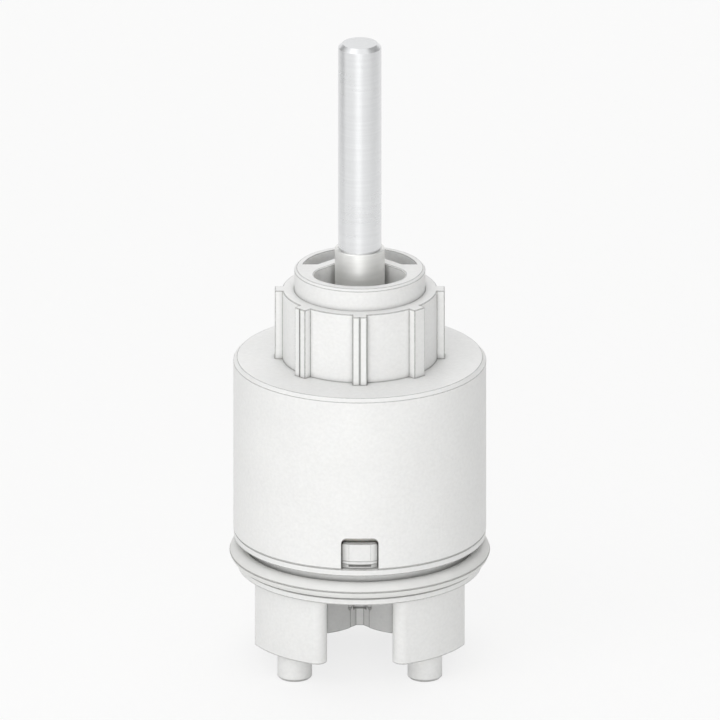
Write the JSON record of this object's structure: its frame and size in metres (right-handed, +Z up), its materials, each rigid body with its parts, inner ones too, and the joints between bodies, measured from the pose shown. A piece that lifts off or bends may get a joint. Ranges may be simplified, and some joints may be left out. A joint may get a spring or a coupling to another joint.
{
  "type": "ceramic disc mixer cartridge",
  "caption": "Ceramic disc mixer cartridge: round barrel with O-ring, ribbed collar, sector gate, joystick rod, and a slotted base with locating pins.",
  "frame": {"origin": "on the barrel axis at the level of the locating pins' tips", "axes": "+Z up the barrel axis towards the lever, -Y to the front, where the outlet slot and the open end of the lever gate face; the hot inlet is at -X and the cold inlet at +X, both towards +Y"},
  "size_m": [0.036, 0.036, 0.09],
  "materials": {
    "acetal_white": "moulded acetal, fine matt",
    "acetal_gate": "moulded acetal, fine matt",
    "acetal_base": "moulded acetal, fine matt",
    "rubber_pale": "pale silicone rubber, moulded with a fine parting line",
    "rubber_seal": "moulded black rubber",
    "alumina": "lapped alumina",
    "washer_plastic": "turned low friction plastic",
    "screen_steel": "punched stainless sheet",
    "driver_plastic": "moulded glass filled plastic",
    "rotor_plastic": "moulded acetal",
    "pin_steel": "ground stainless pin",
    "spindle_metal": "satin nickel on turned brass",
    "rod_steel": "ground stainless rod",
    "cap_plastic": "moulded acetal"
  },
  "bodies": {
    "housing": {"housing": "acetal_white", "lever_gate": "acetal_gate", "base": "acetal_base", "outer_o_ring": "rubber_pale", "hot_inlet_seal": "rubber_seal", "cold_inlet_seal": "rubber_seal", "hot_disc_seal": "rubber_seal", "cold_disc_seal": "rubber_seal", "outlet_disc_seal": "rubber_seal", "fixed_disc": "alumina", "thrust_ring": "washer_plastic"},
    "rotor": {"rotor": "rotor_plastic", "rotor_o_ring": "rubber_seal", "pivot_pin": "pin_steel"},
    "lever": {"lever_spindle": "spindle_metal", "control_rod": "rod_steel", "lever_tip_cap": "cap_plastic"},
    "slide": {"disc_driver": "driver_plastic", "moving_disc": "alumina", "noise_screen": "screen_steel", "chamber_seal": "rubber_seal"}
  },
  "joints": [
    {"name": "mix_turn", "type": "hinge", "parent": "housing", "child": "rotor", "pos_m": [0, 0, 0.0445], "axis": [0, 0, 1], "range_deg": [-45, 45]},
    {"name": "lever_tilt", "type": "hinge", "parent": "rotor", "child": "lever", "pos_m": [0, 0, 0.0445], "axis": [1, 0, 0], "range_deg": [0, 16.5]},
    {"name": "disc_slide", "type": "slide", "parent": "rotor", "child": "slide", "axis": [0, 1, 0], "range_m": [0, 0.00318]}
  ],
  "couplings": [
    {"joint": "disc_slide", "follows": "lever_tilt", "m_per_rad": 0.011046}
  ]
}
